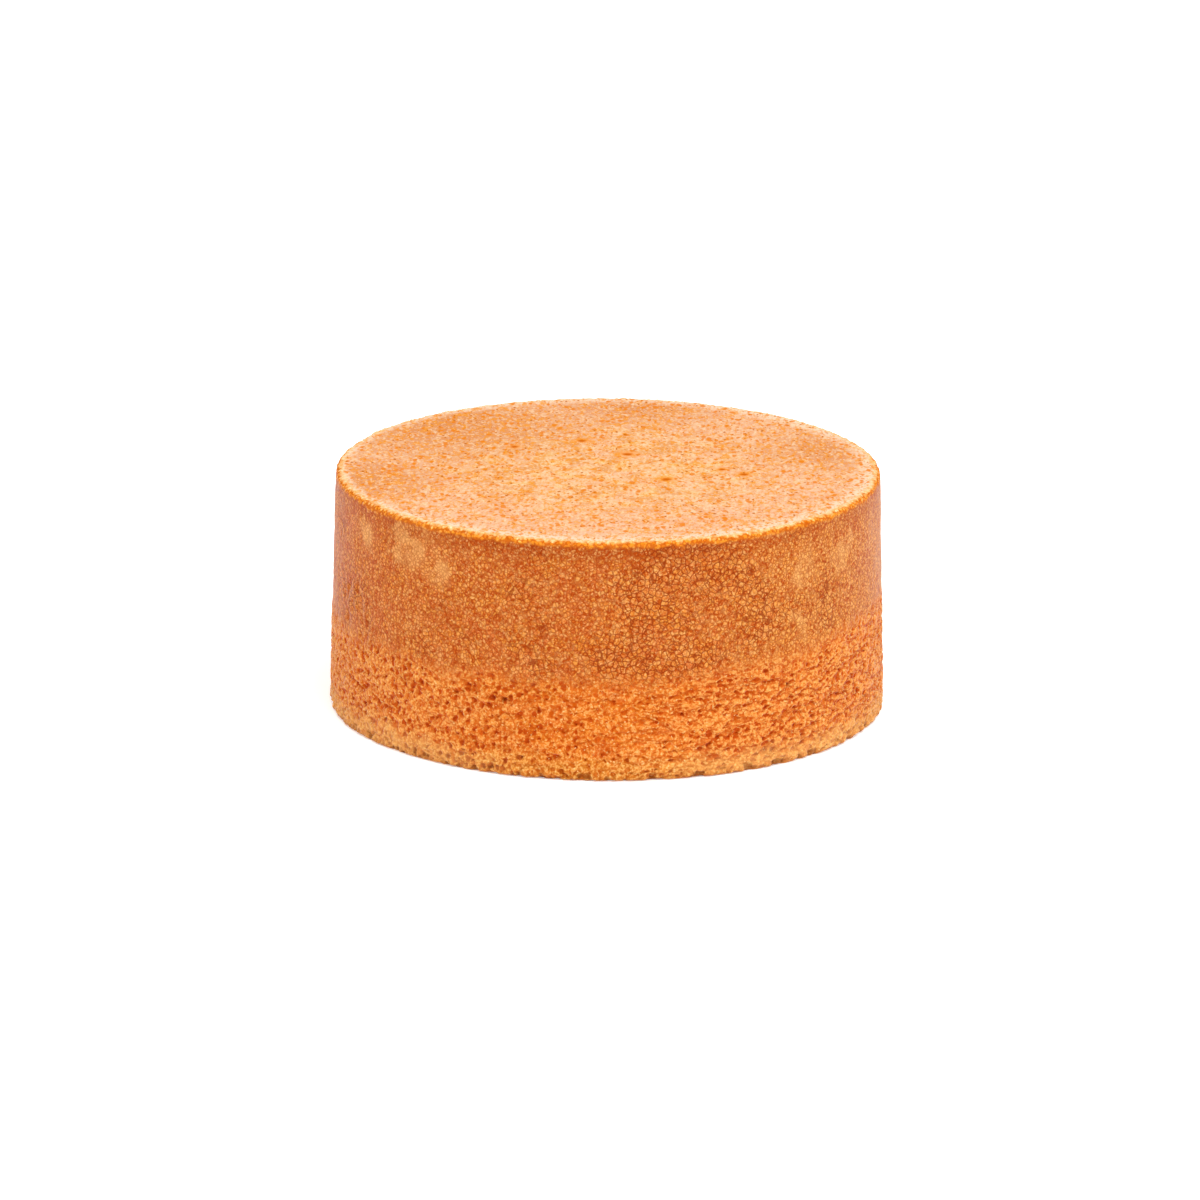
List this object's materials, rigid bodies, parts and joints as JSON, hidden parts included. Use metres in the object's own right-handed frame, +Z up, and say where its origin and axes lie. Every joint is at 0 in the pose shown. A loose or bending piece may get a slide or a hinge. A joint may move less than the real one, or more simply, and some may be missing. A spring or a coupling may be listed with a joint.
{
  "type": "mud cake",
  "caption": "Whole round un-iced golden mud cake with a flat top, a fine baked skin round its upper side and bare open crumb round its lower side.",
  "frame": {"origin": "middle of the flat underside, on the surface that the cake stands on", "axes": "+Z up through the middle of the cake; the side that faces the viewer looks along -Y, with +X to its right"},
  "size_m": [0.23, 0.23, 0.0998],
  "materials": {
    "cake_crumb": "moist baked cake: golden orange-brown skin with fine pores, open crumb below"
  },
  "bodies": {
    "root": {"cake": "cake_crumb"}
  },
  "joints": []
}
